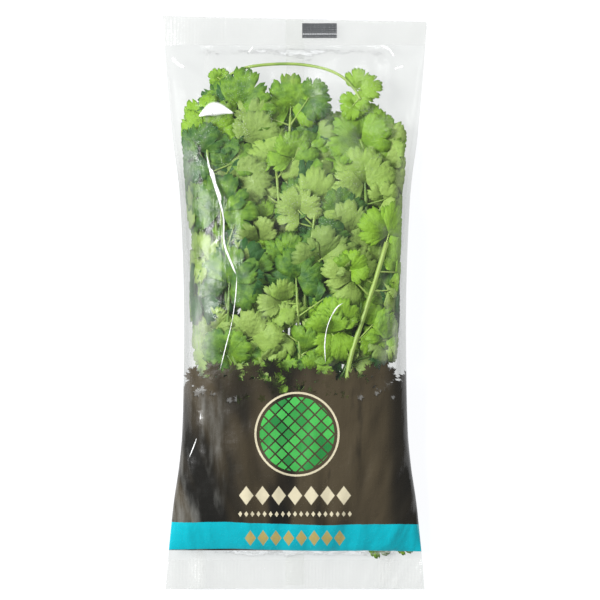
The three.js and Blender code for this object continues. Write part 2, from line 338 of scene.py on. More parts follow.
filmLook = {
    "clear": (0.89, 0.895, 0.885, 1),
    "gloss": (0.95, 0.96, 0.97, 1),
    # white of the film's haze, its painted highlights and painted sheen
    "hazeAndSheen": (0.82, 0.83, 0.81),
    # grey of the painted shade at the film's sides
    "marginShade": (0.36, 0.37, 0.36),
    "printTop": -53,
    "bandTop": -142,
    "bandFoot": -159.6,
    "sealStart": 166,
    "crimp": (2.2, 1.5),  # how far apart the dots of the seals are, across and along
    "mark": [15.8, 175.4, 11.2, 4.8],
    "markStripe": (0.42, 0.43, 0.44),
    "markGround": (0.09, 0.095, 0.1),
    # rows of leaf shapes: pitch, shift, lowest and highest place, least and greatest size
    "leafRows": [(17, 0.3, -54, -46, 7, 12), (12.5, 0.7, -52, -41, 5, 8.5)],
    "windowRows": [(23, 0.1, -62, -55, 3, 6), (10.5, 0.5, -64, -57, 1.5, 3.5)],
    "medallion": (1.3, -84),
    "discRadius": 23.85,
    "ringRadius": 26.5,
    "latticePitch": 8.4,
    # rows of lozenges: height, pitch, half width, half height, count
    "creamRows": [(-123.5, 10.4, 4.6, 6.2, 7), (-135.5, 3.9, 1.3, 1.9, 19)],
    "goldRow": (-151.3, 8.2, 3.6, 5.2, 8),
    "brown": (0.03, 0.024, 0.015),
    # lighter brown and near black: painted light and painted shade on the print's folds
    "brownPaintedLight": (0.07, 0.055, 0.032),
    "paintedFoldShade": (0.008, 0.008, 0.007),
    # grey of the painted sheen on the print's left side
    "paintedSheen": (0.24, 0.24, 0.22),
    "turquoise": (0.0, 0.46, 0.56),
    "cream": (0.68, 0.62, 0.44),
    "gold": (0.54, 0.39, 0.09),
    "greens": [(0.02, 0.22, 0.05), (0.08, 0.52, 0.1)],
    # how fine each noise is, per metre
    "raggedScale": 75,
    "tuftScale": 26,
    "softScale": 14,
    "fineScale": 420,
    "streakScale": 62,
    "buckleScale": 24,
    "dentScale": 45,
    "relief": 0.0011,
}


def filmMaterial():
    p = Paint("printed film")
    look = filmLook
    where = p.place()
    x, y, z = [axis * 1000 for axis in p.axes(where)]
    lengthwise = p.add("ShaderNodeVectorMath", {"operation": "MULTIPLY"}, {0: where, 1: (1, 0.16, 1)})
    ragged = p.noise(where, look["raggedScale"], 5, 0.68)
    tufts = p.noise(where, look["tuftScale"], 2)
    soft = p.noise(where, look["softScale"], 3)
    fine = p.noise(where, look["fineScale"], 3)
    streaks = p.noise(lengthwise, look["streakScale"], 4, 0.6)

    def aboveLine(value, line, blur):
        return value.ramp(line - blur, line + blur)

    # a row of leaf shapes across the film, each with its own place and size
    def leafRow(pitch, shift, low, high, least, most):
        cell = (x / pitch + shift).floor()

        def chance(k):
            spot = p.add("ShaderNodeCombineXYZ", sockets={0: cell, 1: shift * 10 + k})
            return p.add("ShaderNodeTexWhiteNoise", {"noise_dimensions": "2D"}, {"Vector": spot}, "Value")

        aside = ((x / pitch + shift).part() - 0.5) * pitch
        up = y - (chance(1) * (high - low) + low)
        turn = aside.reckon("ARCTAN2", aside, up) + (chance(2) - 0.5) * 1.4
        lobes = abs(turn.reckon("COSINE", turn * 2.5)) * 0.5 + 0.5
        teeth = 1 - abs(turn.reckon("SINE", turn * 9)) * 0.3
        reach = (chance(3) * (most - least) + least) * lobes * teeth
        away = (aside**2 + up**2) ** 0.5
        return 1 - (away / reach).ramp(0.95, 1.05)

    # the brown print, with leaves along its upper edge, and the turquoise band across its foot
    edge = y - (ragged - 0.5) * 30 - (tufts - 0.5) * 22
    brown = 1 - aboveLine(edge, look["printTop"], 0.7)
    shapes, moreShapes = (leafRow(*row) for row in look["leafRows"])
    windows, moreWindows = (leafRow(*row) for row in look["windowRows"])
    away = ((x - look["medallion"][0]) ** 2 + (y - look["medallion"][1]) ** 2) ** 0.5
    gaps = windows.most(moreWindows) * 0.45 * away.ramp(27, 30)
    tips = shapes.most(moreShapes) * (ragged * 0.9 + 0.5).least(1.0)
    brown = (brown * (1 - gaps)).most(tips) * aboveLine(y, look["bandFoot"], 0.2)
    wave = y + (soft - 0.5) * 5 + x * 0.006
    band = (1 - aboveLine(wave, look["bandTop"], 0.2)) * aboveLine(wave, look["bandFoot"], 0.2)
    printed = brown.most(band)

    # a plain ornament: a lattice medallion, a row of lozenges under it and another in the band
    def lozenges(centre, pitch, half, tall, count):
        dx = abs(((x + pitch * count / 2) / pitch).part() - 0.5) * pitch
        inside = 1 - (dx / half + abs(y - centre) / tall).ramp(0.94, 1.06)
        return inside * (1 - aboveLine(abs(x), pitch * count / 2, 0.1))

    rising = (x + y) / look["latticePitch"]
    falling = (x - y) / look["latticePitch"]
    bars = abs(rising.part() - 0.5).ramp(0.4, 0.43).most(abs(falling.part() - 0.5).ramp(0.4, 0.43))
    disc = (1 - bars) * (1 - aboveLine(away, look["discRadius"], 0.15))
    ring = 1 - abs(away - look["ringRadius"]).ramp(0.5, 0.8)
    largeRow, smallRow = (lozenges(*row) for row in look["creamRows"])
    creamRow = largeRow.most(smallRow).most(ring)
    front = z.ramp(4.5, 5.5)
    goldRow = lozenges(*look["goldRow"])
    spot = p.add("ShaderNodeCombineXYZ", sockets={0: rising.floor(), 1: falling.floor()})
    cell = p.add("ShaderNodeTexWhiteNoise", {"noise_dimensions": "2D"}, {"Vector": spot}, "Value")

    # the plain mark on the top seal: middle, half width and half height
    mx, my, mw, mh = look["mark"]
    mark = (1 - aboveLine(abs(x - mx), mw, 0.15)) * (1 - aboveLine(abs(y - my), mh, 0.15))
    mark = mark * z.ramp(3.5, 4.5)
    stripe = (1 - abs(y - my + 2.2).ramp(0.35, 0.6)) * abs((x / 1.1).part() - 0.5).ramp(0.1, 0.25)

    # the crimped seals: a grid of dots in fine rows
    seal = aboveLine(abs(y), look["sealStart"], 0.6)
    rows = abs((y / look["crimp"][1]).part() - 0.5) * 2
    dots = rows * abs((x / look["crimp"][0]).part() - 0.5) * 2

    # large folds fan up from the foot, with painted light and painted shade: some nearly black and some
    # lighter, and the right edge painted dark
    fan = p.add("ShaderNodeCombineXYZ", sockets={0: x / (y + 300) * 160, 1: y * 0.22, 2: z * 0.3})
    panels = p.noise(fan, 0.055, 2, 0.45)
    foldLightAndShade = p.mix(panels.ramp(0.42, 0.62), look["brown"], look["brownPaintedLight"])
    foldLightAndShade = p.mix((1 - panels.ramp(0.34, 0.5)) * 0.92, foldLightAndShade, look["paintedFoldShade"])
    foldLightAndShade = p.mix(((1 - streaks.ramp(0.3, 0.42)) * 0.5).most(x.ramp(55, 66) * 0.8), foldLightAndShade, look["paintedFoldShade"])
    # painted sheen: grey highlights in streaks over the left side of the print
    paintedSheen = (0 - x).ramp(34, 62) * streaks.ramp(0.44, 0.66) * (1 - wave.ramp(-64, -54))
    foldLightAndShade = p.mix(paintedSheen * 0.7, foldLightAndShade, look["paintedSheen"])
    # painted shade: the clear film along the sides turns grey
    marginShade = abs(x).ramp(63, 69) * (1 - abs(y).ramp(70, 110))
    colour = p.mix((brown * 6).least(1.0), p.mix(marginShade, look["hazeAndSheen"], look["marginShade"]), foldLightAndShade)
    colour = p.mix(disc * brown * front, colour, p.mix(cell, *look["greens"]))
    colour = p.mix(creamRow * brown * front, colour, look["cream"])
    colour = p.mix(band, colour, look["turquoise"])
    colour = p.mix(goldRow * band * front * (0.75 + fine * 0.3).least(1.0), colour, look["gold"])
    colour = p.mix(mark, colour, p.mix(stripe, look["markGround"], look["markStripe"]))

    # haze where the film is folded or pulled over the sides, which is painted highlight and painted sheen,
    # with faint milky patches and the milky seals
    crease = p.attribute("crease")
    sides = abs(x).ramp(48, 62) * (1 - abs(x).ramp(65, 70))
    sides = sides * streaks.ramp(0.42, 0.7) * (1 - y.ramp(10, 70))
    hazeAndSheen = crease * 0.2 + sides * 0.32 + soft.ramp(0.5, 0.8) * 0.03 + seal * (0.08 + dots * 0.04)
    # painted shade at the sides, covering more on the left
    marginShadeCover = marginShade * ((0 - x).ramp(0, 40) * 0.15 + 0.16)
    cover = (hazeAndSheen + marginShadeCover + 0.012).most(printed * 0.975).most(mark * 0.96)
    buckle = p.noise(lengthwise, look["buckleScale"], 2, 0.4)
    dents = p.noise(where, look["dentScale"], 3, 0.5)
    relief = buckle * 9 + seal * dots * 0.3 + fine * 0.15 + dents * 2.2 + streaks * 1.6 + panels * 4
    normal = p.bump(relief, 0.5, look["relief"])
    rough = 0.2 + fine * 0.12
    ink = p.principled(Base_Color=colour, Roughness=rough, Normal=normal, Specular_IOR_Level=0.6)
    clear = p.add("ShaderNodeBsdfTransparent", sockets={"Color": look["clear"]})
    body = p.add("ShaderNodeMixShader", sockets={0: cover, 1: clear, 2: ink})
    gloss = p.principled(Base_Color=look["gloss"], Metallic=1.0, Roughness=0.16, Normal=normal)
    fresnel = p.add("ShaderNodeFresnel", sockets={"IOR": 1.42, "Normal": normal})
    edgeward = 1 - abs(x).ramp(56, 70) * 0.8
    sheen = fresnel * 0.38 * edgeward + crease * 0.08 + seal * 0.02
    shine = ((1 - printed.most(mark)) * sheen).least(0.9)
    return p.finish(p.add("ShaderNodeMixShader", sockets={0: shine, 1: body, 2: gloss}))


def thinFilmMaterial():
    # the seam's extra layers, which hardly show
    p = Paint("film seam")
    y = p.axes(p.place())[1] * 1000
    teeth = abs((y / filmLook["crimp"][1]).part() - 0.5) * 2
    clear = p.add("ShaderNodeBsdfTransparent", sockets={"Color": (0.985, 0.987, 0.98, 1)})
    gloss = p.principled(Base_Color=(0.9, 0.91, 0.9, 1), Roughness=0.3, Normal=p.bump(teeth, 0.3, 0.0003))
    return p.finish(p.add("ShaderNodeMixShader", sockets={0: teeth * 0.02 + 0.01, 1: clear, 2: gloss}))


def foldHighlightMaterial():
    # film along a sharp fold, white with a painted highlight, fading out at both edges
    p = Paint("film fold highlight")
    u, v, _ = p.axes(p.add("ShaderNodeUVMap", {"uv_map": "ribbon"}))
    fine = p.noise(p.place(), 260, 3)
    ridge = 1 - abs(u - 0.5).ramp(0.22, 0.5)
    ends = v.ramp(0.0, 0.15) * (1 - v.ramp(0.85, 1.0))
    cover = ridge * ends * fine.ramp(0.2, 0.5)
    clear = p.add("ShaderNodeBsdfTransparent", sockets={"Color": (1, 1, 1, 1)})
    white = p.principled(Base_Color=(0.95, 0.96, 0.95, 1), Roughness=0.3, Normal=p.bump(fine, 0.4, 0.0005))
    return p.finish(p.add("ShaderNodeMixShader", sockets={0: cover, 1: clear, 2: white}))


floorLook = {
    "dark": (0.15, 0.15, 0.15),
    "light": (0.17, 0.17, 0.17),
    "glow": (0.97, 0.98, 1, 1),
    "glowStrength": 0.92,
}


def floorMaterial():
    # a pale table that glows faintly, so that it comes out white
    p = Paint("pale table")
    look = floorLook
    colour = p.mix(p.noise(p.place(), 3, 2), look["dark"], look["light"])
    glow = {"Emission_Color": look["glow"], "Emission_Strength": look["glowStrength"]}
    return p.finish(p.principled(Base_Color=colour, Roughness=0.7, **glow))


blade = leafMaterial()
stalk = stemMaterial()
film = filmMaterial()
thinFilm = thinFilmMaterial()
foldHighlight = foldHighlightMaterial()
print("materials made")


def gridShare(vert):
    # where a corner of a fresh grid stands, from 0 to 1 both ways
    return (vert.co.x + 1) / 2, (vert.co.y + 1) / 2


def addPiece(name, bm, materials, node=None):
    mesh = bpy.data.meshes.new(name)
    bm.to_mesh(mesh)
    bm.free()
    for material in materials:
        mesh.materials.append(material)
    piece = bpy.data.objects.new(name, mesh)
    scene.collection.objects.link(piece)
    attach(piece, "root")
    if node:
        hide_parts(node)


herb = {
    "clearance": 1.5,  # between film and leaves
    "sideClearance": 3.2,
    "stemFoot": -150,
    "laneStep": 3.4,  # from stem to stem at their feet
    "laneEnd": -88,  # up to here each stem keeps its lane
    "stemRadius": [1.35, 0.8],
    "strongStem": [1.75, 1.5],
    "stemSides": 10,
    "stemStops": 26,
    "petioleRadius": [0.62, 0.5],
    "petioleSides": 6,
    "petioleSteps": 5,
    "tipPetiole": 4,
    "filmGap": 0.7,  # the least between the film and the middle of a blade or stem
    "fullRoom": 34,  # the height between the films from which a leaf keeps its own shape
    "knee": 0.74,  # the share of the half width from which leaves crowd towards the side
    # draws for each sprig, as in the solids: angles in radians and lengths in millimetres
    "footAhead": (-4, 6),
    "tipTurn": (-0.35, 0.35),
    "firstDrop": (33, 36),
    "pairDrop": (5, 9),
    "nextDrop": (36, 40),
    "petioleLean": (0.9, 1.2),
    "petiole": (12, 16),
    "sideLean": (1.1, 1.6),
    "sideSize": (0.82, 1),
    "backSize": (22.5, 25.5),
    "frontSize": (22, 26),
    # draws for the extra leaves, which the solids lack
    "extraDrop": (4, 74),
    "extraLean": (0.3, 1.5),
    "extraPetiole": (9, 24),
    "extraTurn": (-0.4, 2.2),
    "extraSize": (0.55, 0.95),
    "extraTilt": (-0.55, 0.55),
    # a leaf's three leaflets: the gap from its hub to their feet at full size, and the two side ones
    "leafletStart": 1.12,
    "fullLeaf": 24,
    "sideTurn": math.radians(84),
    "sideShare": 0.9,
    # the stems at the back, three in each family
    "backTops": [146, 104, 58],
    "backShift": (-5, 5),
    "backDrop": (-6, 0),
    "backLean": (-0.12, 0.12),
    "familySide": {"left": -40, "middle": 0, "right": 40},
    "familyDrop": {"left": 0, "middle": 0, "right": 17},
    "familyShift": {"left": 0, "middle": 0.6, "right": 0.22},
    "middleDepth": 0.42,
    "rankSlack": 0.6,
    "layers": {
        "back": {"ranks": 3, "from": 55, "to": 148, "near": 0.37, "far": 0},
        "front": {"ranks": 4, "from": 30, "to": 148, "near": 0.47, "far": 1},
    },
    # the stems in front, from the rear rank to the film: axis, top, lean, leaves
    "front": {
        "left": [[-36, 151, 0.04, 3], [-57, 133, -0.12, 3], [-47, 82, -0.06, 4], [-42, 36, 0.05, 3]],
        "middle": [[-3, 147, 0.05, 3], [-12, 112, -0.08, 4], [13, 86, 0.12, 4], [1, 36, -0.05, 3]],
        "right": [[48, 127, 0.06, 3], [45, 100, -0.03, 4], [42, 28, 0.05, 3], [59, 66, 0.32, 2]],
    },
}


def settle(x, y, depth, lift):
    # depth 0 lies on the belly film and 1 under the crown film
    edge = section(y)["half"] - herb["sideClearance"]
    knee = herb["knee"] * edge
    out = abs(x)
    if out > knee:
        out = knee + (edge - knee) * math.tanh((out - knee) / (edge - knee))
    px = math.copysign(out, x)
    inset = bag["film"] + herb["clearance"]
    low = bellyHeight(px, y, inset)
    room = max(crownHeight(px, y, inset) - low, 0)
    return Vector((px, y, low + depth * room + lift * min(1, room / herb["fullRoom"])))


def depthInLayer(layer, rank, family):
    spec = herb["layers"][layer]

    def depth(x, y):
        gone = clamp((y - spec["from"]) / (spec["to"] - spec["from"]))
        present = spec["ranks"] - (spec["ranks"] - 1) * gone
        share = min(1, (rank - herb["familyShift"][family]) / (present + herb["rankSlack"]))
        return spec["near"] + (spec["far"] - spec["near"]) * share

    return depth


def sprigByRule(stem):
    dice = Dice(stem["seed"])
    tip = stem["top"] - stem["size"] - herb["tipPetiole"]
    leave = clamp(tip - 50, -15, 10)

    def stemX(y):
        high = stem["axis"] + stem["lean"] * (y - tip)
        return stem["lane"] + (high - stem["lane"]) * smoothStep(herb["laneEnd"], leave, y)

    foot = herb["stemFoot"] + dice.roll(*herb["footAhead"])
    route = []
    for i in range(herb["stemStops"]):
        y = foot + (tip - foot) * i / (herb["stemStops"] - 1)
        route.append((stemX(y), y))
    ahead = math.atan(stem["lean"])
    leaves = [{
        "root": (stemX(tip - 2), tip - 2),
        "heading": ahead,
        "petiole": herb["tipPetiole"] + 2,
        "turn": ahead + dice.roll(*herb["tipTurn"]),
        "size": stem["size"],
    }]
    side = -1 if dice.roll(0, 1) < 0.5 else 1
    y = tip - dice.roll(*herb["firstDrop"])
    for i in range(1, stem["count"]):
        leaves.append({
            "root": (stemX(y), y),
            "heading": ahead + side * dice.roll(*herb["petioleLean"]),
            "petiole": dice.roll(*herb["petiole"]),
            "turn": ahead + side * dice.roll(*herb["sideLean"]),
            "size": stem["size"] * dice.roll(*herb["sideSize"]),
        })
        side = -side
        y -= dice.roll(*herb["pairDrop" if i % 2 else "nextDrop"])
    # more leaves than the solid has, smaller and tilted, in the gaps
    for i in range(stem["extra"]):
        y = tip - dice.roll(*herb["extraDrop"])
        side = -side
        leaves.append({
            "root": (stemX(y), y),
            "heading": ahead + side * dice.roll(*herb["extraLean"]),
            "petiole": dice.roll(*herb["extraPetiole"]),
            "turn": ahead + side * dice.roll(*herb["extraTurn"]),
            "size": stem["size"] * dice.roll(*herb["extraSize"]),
            "tilt": (dice.roll(*herb["extraTilt"]), dice.roll(*herb["extraTilt"])),
        })
    return route, leaves


def stemList():
    found = []
    seed = 100
    for family, side in herb["familySide"].items():
        for i, top in enumerate(herb["backTops"]):
            dice = Dice(seed + 7)
            axis = side + dice.roll(*herb["backShift"])
            top += dice.roll(*herb["backDrop"]) - herb["familyDrop"][family]
            lean = dice.roll(*herb["backLean"]) + 0.002 * side
            found.append({
                "node": f"sprig_back_{family}_{i + 1}", "family": family, "axis": axis, "top": top,
                "lean": lean, "count": 2, "size": dice.roll(*herb["backSize"]), "seed": seed, "extra": 6,
                "depth": depthInLayer("back", i + 1, family), "radius": herb["stemRadius"],
                "slot": "leaf_deep",
            })
            seed += 1
        for i, (axis, top, lean, count) in enumerate(herb["front"][family]):
            strong = family == "right" and i == 3
            found.append({
                "node": f"sprig_front_{family}_{i + 1}", "family": family, "axis": axis, "top": top,
                "lean": lean, "count": count, "size": Dice(seed + 7).roll(*herb["frontSize"]),
                "seed": seed, "extra": 8, "depth": depthInLayer("front", i + 1, family),
                "radius": herb["strongStem"] if strong else herb["stemRadius"], "slot": "leaf_fresh",
            })
            seed += 1
    found.append({
        "node": "sprig_core", "family": "middle", "axis": 4, "top": 136, "lean": 0, "count": 2,
        "size": 24, "seed": seed, "extra": 6, "depth": lambda x, y: herb["middleDepth"],
        "radius": herb["stemRadius"], "slot": "leaf_deep",
    })
    order = []
    for family in herb["familySide"]:
        order += sorted((s for s in found if s["family"] == family), key=lambda s: s["axis"])
    for i, stem in enumerate(order):
        stem["lane"] = (i - (len(order) - 1) / 2) * herb["laneStep"]
    return found


leaflet = {
    "toothCorners": [0, 0.26, 0.74],  # a notch and the tooth's two corners, as shares of its width
    "teeth": (10, 14),
    "toothWidth": (0.7, 1.3),
    "uneven": (-0.035, 0.035),
    "notch": (0.05, 0.11),  # depths of cuts, as shares of the leaflet's length
    "sinus": (0.17, 0.4),
    "tipNotch": (0.04, 0.15),
    "sinusPlace": (0.28, 0.36),
    "rows": 2,
    "halfFan": math.radians(86),
    "fanShare": (0.66, 1.0),
    "droop": (-4, 1),
    "wave": (0.3, 1.6),
    "ruffle": (0.05, 0.3),
    "fold": (-3.5, 2),
    "twist": (-0.12, 0.12),
    "thickness": 0.3,
}
mergeWithin = 1e-7  # metres


def cutRim(dice):
    # the rim of one leaflet as [share, reach, cut] points, from one edge (-1) over its tip to the other
    teeth = math.floor(dice.roll(*leaflet["teeth"]))
    widths = [dice.roll(*leaflet["toothWidth"]) for _ in range(teeth)]
    sinus = round(teeth * dice.roll(*leaflet["sinusPlace"]))
    lobes = {sinus: dice.roll(*leaflet["sinus"]), teeth - sinus: dice.roll(*leaflet["sinus"])}
    lobes[round(teeth / 2)] = dice.roll(*leaflet["tipNotch"])
    points = []
    start = 0
    for tooth, width in enumerate(widths):
        uneven = dice.roll(*leaflet["uneven"])
        for corner in leaflet["toothCorners"]:
            share = 2 * (start + corner * width) / sum(widths) - 1
            notch = 0.4 * lobes.get(tooth + round(corner), 0)
            if corner == 0 and tooth > 0:
                notch = lobes.get(tooth, dice.roll(*leaflet["notch"]))
            points.append((share, 1 - 0.5 * abs(share) ** 2.8 + uneven, notch))
        start += width
    points.append((1, 0.5, 0))
    return points


def addLeaflet(bm, layers, length, dice, place, tint, pale):
    # a grid bent into a fan: its left side closes on the leaflet's foot and its right side is the rim
    rim = cutRim(dice)
    last = len(rim) - 1
    grid = bmesh.ops.create_grid(bm, x_segments=leaflet["rows"], y_segments=last, size=1)["verts"]
    faces = {face for vert in grid for face in vert.link_faces}
    droop = dice.roll(*leaflet["droop"])
    wave = dice.roll(*leaflet["wave"])
    ruffle = dice.roll(*leaflet["ruffle"])
    phase = dice.roll(0, 6.28)
    fold = dice.roll(*leaflet["fold"])
    wide = dice.roll(*leaflet["fanShare"])
    for face in faces:
        face[layers["tint"]] = tint
        face[layers["pale"]] = pale
        face.material_index = 0
        for loop in face.loops:
            loop[layers["uv"]].uv = gridShare(loop.vert)[::-1]
    for vert in grid:
        outward, aside = gridShare(vert)
        out = outward**0.7
        side, rimOut, notch = rim[round(aside * last)]
        turn = side * leaflet["halfFan"] * wide
        reach = length * out * (1 + (rimOut - 1) * out)
        if out > 0.99:
            reach -= length * notch
        u = reach * math.sin(turn)
        v = reach * math.cos(turn)
        waves = wave * math.sin(4.2 * side + phase) + ruffle * math.sin(11 * side - phase)
        lift = out**2 * (droop + waves) + fold * abs(u) / length
        vert.co = place(u, v, lift)
    bmesh.ops.remove_doubles(bm, verts=grid, dist=mergeWithin)


def addTube(bm, layers, path, radii, sides, tint):
    # a grid rolled up round the path, with its seam merged and its ends filled
    rings = len(path) - 1
    grid = bmesh.ops.create_grid(bm, x_segments=sides, y_segments=rings, size=1)["verts"]
    faces = {face for vert in grid for face in vert.link_faces}
    for face in faces:
        face.smooth = True
        face.material_index = 1
        face[layers["tint"]] = tint
        for loop in face.loops:
            loop[layers["uv"]].uv = gridShare(loop.vert)
    for vert in grid:
        i = round(gridShare(vert)[1] * rings)
        turn = -math.pi * (vert.co.x + 1)
        ahead = (path[min(i + 1, rings)] - path[max(i - 1, 0)]).normalized()
        across = Vector((0, 0, 1)).cross(ahead).normalized()
        up = ahead.cross(across)
        radius = radii[0] + (radii[1] - radii[0]) * i / rings
        radius *= 1 + 0.07 * math.cos(5 * turn)
        vert.co = path[i] + (across * math.cos(turn) + up * math.sin(turn)) * radius * mm
    bmesh.ops.remove_doubles(bm, verts=grid, dist=mergeWithin)
    rims = {edge for vert in grid if vert.is_valid for edge in vert.link_edges if edge.is_boundary}
    caps = bmesh.ops.holes_fill(bm, edges=list(rims), sides=0)["faces"]
    for face in caps:
        face.material_index = 1
        face[layers["tint"]] = 1.0


def bladeLayers(bm):
    return {
        "uv": bm.loops.layers.uv.new("blade"),
        "tint": bm.faces.layers.float.new("tint"),
        "pale": bm.faces.layers.float.new("pale"),
    }


def thicken(bm, thickness):
    bmesh.ops.solidify(bm, geom=bm.faces[:], thickness=thickness * mm)
    for face in bm.faces:
        face.smooth = True


# the tone of a leaf, from 0 (deep green) to 1 (fresh green)
tones = {
    "sprig": (0.0, 0.86),
    "leaf": (-0.35, 0.3),
    "leaflet": (-0.15, 0.15),
    # painted light: leaves to the upper right, in the lower part and on the left are made fresher and
    # lighter
    "paintedLightUpperRight": 0.85,
    "lower": 0.42,
    "paintedLightLeft": 0.12,
    # painted shade: the extra leaves, which lie behind, are made deeper green
    "extra": 0.12,
    "paleShare": 0.33,
    "pale": (0.6, 1),
}
# tone and paleness of the foremost tips, where the photo shows them
tipLooks = {
    "sprig_front_left_1": (0.55, 0),
    "sprig_front_left_2": (1, 0),
    "sprig_front_middle_2": (0.8, 1),
    "sprig_front_middle_3": (0.7, 0.9),
    "sprig_front_right_1": (1, 0.1),
    "sprig_front_right_2": (0.9, 0.8),
    "sprig_front_right_3": (0.7, 0.2),
    "sprig_loop": (1, 0.3),
}


def growSprig(stem, route, leaves):
    dice = Dice(stem["seed"] + 900)
    bm = bmesh.new()
    layers = bladeLayers(bm)
    inset = bag["film"] + herb["filmGap"]

    def settled(x, y, lift):
        at = settle(x, y, stem["depth"](x, y), lift)
        top = crownHeight(at.x, at.y, inset)
        bottom = bellyHeight(at.x, at.y, inset)
        at.z = clamp(at.z, bottom, max(top, bottom))
        return at * mm

    petioles = []
    mood = dice.roll(*tones["sprig"])
    for leaf in leaves:
        hx, hy = math.sin(leaf["heading"]), math.cos(leaf["heading"])
        hub = (leaf["root"][0] + leaf["petiole"] * hx, leaf["root"][1] + leaf["petiole"] * hy)
        tilt = leaf.get("tilt", (0, 0))
        # painted light: the tone is lifted for leaves to the upper right, in the lower part and on the left
        paintedLightUpperRight = smoothStep(10, 45, hub[0]) * smoothStep(-20, 60, hub[1])
        tone = mood + dice.roll(*tones["leaf"]) + tones["paintedLightUpperRight"] * paintedLightUpperRight
        tone += tones["lower"] * smoothStep(-10, 30, -hub[1])
        tone += tones["paintedLightLeft"] * smoothStep(35, 60, -hub[0])
        # painted shade on the extra leaves behind
        tone -= tones["extra"] if "tilt" in leaf else 0
        tone = clamp(tone)
        isPale = 1.0 if dice.roll(0, 1) < tones["paleShare"] else 0.0
        if leaf is leaves[0] and stem["node"] in tipLooks:
            tone, isPale = tipLooks[stem["node"]]
        parts = [(0, 1), (herb["sideTurn"], herb["sideShare"]), (-herb["sideTurn"], herb["sideShare"])]
        for turn, share in parts:
            whole = leaf["turn"] + turn
            c, s = math.cos(whole), math.sin(whole)
            start = herb["leafletStart"] * min(1, leaf["size"] / herb["fullLeaf"])
            own = [lean + dice.roll(*leaflet["twist"]) for lean in tilt]

            def place(u, v, lift):
                v += start
                x = hub[0] + u * c + v * s
                y = hub[1] - u * s + v * c
                return settled(x, y, lift + u * own[0] + v * own[1])

            toneHere = clamp(tone + dice.roll(*tones["leaflet"]))
            paleHere = isPale * dice.roll(*tones["pale"])
            addLeaflet(bm, layers, leaf["size"] * share, dice, place, toneHere, paleHere)
        path = []
        for i in range(herb["petioleSteps"] + 1):
            t = i / herb["petioleSteps"] * (leaf["petiole"] + 2)
            path.append(settled(leaf["root"][0] + t * hx, leaf["root"][1] + t * hy, 0))
        petioles.append(path)
    thicken(bm, leaflet["thickness"])
    addTube(bm, layers, [settled(x, y, 0) for x, y in route], stem["radius"], herb["stemSides"], mood)
    for path in petioles:
        addTube(bm, layers, path, herb["petioleRadius"], herb["petioleSides"], mood)
    addPiece("herb_" + stem["node"], bm, [blade, stalk], stem["node"])


for stem in stemList():
    growSprig(stem, *sprigByRule(stem))
print("leafy stems grown")

# the long bent stem that runs up the left side and over the top, its route as in the solids
bentStem = {
    "node": "sprig_loop",
    "seed": 700,
    "slot": "leaf_bright",
    "radius": [1.3, 0.85],
    "depth": lambda x, y: herb["middleDepth"] + 0.5 * smoothStep(-10, 28, x),
}
bentRoute = [
    (-43, -147), (-43, -118), (-44, -88), (-46, -50), (-49, 0), (-51, 50), (-53, 95), (-52, 125),
    (-46, 142), (-35, 150), (-20, 153), (0, 153.5), (18, 150.5), (30, 145), (38, 137), (42, 130),
]
bentLeaves = [
    {"root": (37, 138), "heading": 1.9, "petiole": 4, "turn": 1.4, "size": 15},
    {"root": (41.5, 131), "heading": -2.4, "petiole": 5, "turn": -2.6, "size": 11},
    {"root": (-46, 142), "heading": -0.9, "petiole": 3, "turn": -0.9, "size": 8},
]


def smoothRoute(points, steps):
    # a Catmull-Rom curve through the points
    out = []
    for i in range(len(points) - 1):
        a, b, c, d = (Vector(points[min(max(i + k, 0), len(points) - 1)]) for k in (-1, 0, 1, 2))
        for k in range(steps):
            t = k / steps
            square = 2 * a - 5 * b + 4 * c - d
            cube = 3 * b - a - 3 * c + d
            at = 0.5 * (2 * b + (c - a) * t + square * t**2 + cube * t**3)
            out.append((at.x, at.y))
    return out + [points[-1]]


growSprig(bentStem, smoothRoute(bentRoute, 4), bentLeaves)
print("bent stem grown")


# two leaflets that dropped to the foot of the bag
def looseLeaflet(index, x, y, turn, size):
    dice = Dice(40 + index)
    bm = bmesh.new()
    c, s = math.cos(turn), math.sin(turn)

    def place(u, v, lift):
        px, py = x + u * c + v * s, y - u * s + v * c
        between = (bellyHeight(px, py, bag["film"]) + crownHeight(px, py, bag["film"])) / 2
        return Vector((px, py, between + 0.1 * lift)) * mm  # pressed nearly flat

    addLeaflet(bm, bladeLayers(bm), size, dice, place, 0.9, 0.0)
    thicken(bm, leaflet["thickness"])
    name = f"loose_leaflet_{index}"
    addPiece("herb_" + name, bm, [blade], name)


looseLeaflet(1, 50, -151, 2.3, 15.5)
looseLeaflet(2, 66, -154, 1.9, 12)
print("loose leaflets made")

skin = {
    "around": 150,
    "sealRings": 40,
    "bodyRings": 176,
    "creases": 46,
    # every third crease runs out of a seal: direction, half length, half width and height
    "sealCrease": [(-0.35, 0.35), (10, 24), (0.6, 1.1), (0.2, 0.6)],
    "bodyCrease": [(-0.9, 0.9), (10, 30), (0.5, 0.9), (0.1, 0.35)],
    "sealRidge": 0.05,
    "sealPitch": 1.9,
    "ripple": 1.5,
    "crumple": 0.55,
    "buckle": 2.4,
    "deepest": -0.5,
    "lowest": 0.02,
    "mergeWithin": 2e-6,  # metres
}


def makeCreases():
    # long narrow folds in the film: [x, y, direction, half length, half width, height, front]
    dice = Dice(31)
    made = []
    for i in range(skin["creases"]):
        top = dice.roll(0, 1) < 0.5
        if i % 3 == 0:
            y = dice.roll(128, 160) * (1 if top else -1)
            made.append([dice.roll(-75, 75), y, *(dice.roll(*ends) for ends in skin["sealCrease"]), True])
        else:
            place = [dice.roll(-68, 68), dice.roll(-135, 120)]
            shape = [dice.roll(*ends) for ends in skin["bodyCrease"]]
            made.append([*place, *shape, dice.roll(0, 1) < 0.8])
    return made


creases = makeCreases()


